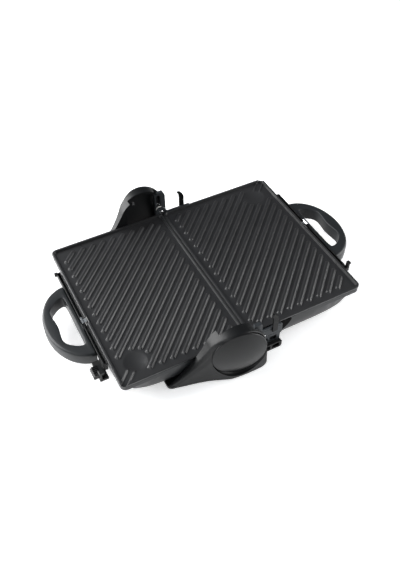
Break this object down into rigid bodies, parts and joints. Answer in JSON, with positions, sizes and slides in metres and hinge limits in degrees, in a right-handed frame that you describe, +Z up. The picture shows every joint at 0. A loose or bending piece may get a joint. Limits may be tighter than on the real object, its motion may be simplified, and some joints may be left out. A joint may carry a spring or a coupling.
{
  "type": "panini press",
  "caption": "Contact grill opened flat: ribbed non-stick plates in a base and a lid, loop handles, side arms with floating hinge, storage latch and plate clips.",
  "frame": {"origin": "on the table, under the middle of the hinge line, with the lid opened flat", "axes": "+X from the base half to the lid half, +Y along the hinge from the near arm to the far arm, +Z up"},
  "size_m": [0.508, 0.362, 0.095],
  "materials": {
    "non_stick_plate": "satin",
    "bright_steel": "satin",
    "aluminised_steel": "satin",
    "heating_element": "satin",
    "ceramic": "matte",
    "bush_plastic": "matte",
    "rubber": "matte",
    "black_steel": "satin",
    "handle_plastic": "satin",
    "red_lens": "gloss",
    "green_lens": "gloss",
    "satin_black_plastic": "satin"
  },
  "bodies": {
    "base": {"base_handle": "handle_plastic", "base_heater": "heating_element", "base_plate": "non_stick_plate", "base_rail": "satin_black_plastic", "base_reflector": "aluminised_steel", "base_shell": "satin_black_plastic", "base_terminal_block": "ceramic", "base_thermal_fuse": "ceramic", "base_thermostat": "aluminised_steel", "cord_inlet": "rubber", "far_arm_cap": "satin_black_plastic", "far_arm_cover": "satin_black_plastic", "far_arm_front_foot": "rubber", "far_arm_rear_foot": "rubber", "far_base_foot": "rubber", "far_cover_screw": "bright_steel", "far_hinge_guide": "black_steel", "near_arm_cap": "satin_black_plastic", "near_arm_cover": "satin_black_plastic", "near_arm_front_foot": "rubber", "near_arm_rear_foot": "rubber", "near_base_foot": "rubber", "near_cover_screw": "bright_steel", "near_hinge_guide": "black_steel"},
    "hinge_carriage": {"far_hinge_pin": "bright_steel", "far_pin_bush": "bush_plastic", "near_hinge_pin": "bright_steel", "near_pin_bush": "bush_plastic"},
    "lid": {"far_bracket_screw": "bright_steel", "far_lid_bracket": "black_steel", "far_lid_foot": "satin_black_plastic", "far_lid_hook": "black_steel", "far_lid_pad": "rubber", "lid_handle": "handle_plastic", "lid_heater": "heating_element", "lid_plate": "non_stick_plate", "lid_rail": "satin_black_plastic", "lid_reflector": "aluminised_steel", "lid_shell": "satin_black_plastic", "lid_terminal_block": "ceramic", "lid_thermal_fuse": "ceramic", "near_bracket_screw": "bright_steel", "near_lid_bracket": "black_steel", "near_lid_foot": "satin_black_plastic", "near_lid_hook": "black_steel", "near_lid_pad": "rubber", "power_lamp": "red_lens", "ready_lamp": "green_lens"},
    "storage_latch": {"storage_latch": "satin_black_plastic"},
    "base_plate_clip": {"base_plate_clip": "bright_steel"},
    "lid_plate_clip": {"lid_plate_clip": "bright_steel"}
  },
  "joints": [
    {"name": "hinge_float", "type": "slide", "parent": "base", "child": "hinge_carriage", "axis": [0, 0, 1], "range_m": [0, 0.025]},
    {"name": "lid_hinge", "type": "hinge", "parent": "hinge_carriage", "child": "lid", "pos_m": [0, 0, 0.0483], "axis": [0, -1, 0], "range_deg": [0, 180]},
    {"name": "latch_slide", "type": "slide", "parent": "base", "child": "storage_latch", "axis": [0, 1, 0], "range_m": [0, 0.008]},
    {"name": "base_clip_press", "type": "slide", "parent": "base", "child": "base_plate_clip", "axis": [-1, 0, 0], "range_m": [0, 0.0025], "stiffness_N_per_m": 1500},
    {"name": "lid_clip_press", "type": "slide", "parent": "lid", "child": "lid_plate_clip", "axis": [1, 0, 0], "range_m": [0, 0.0025], "stiffness_N_per_m": 1500}
  ]
}
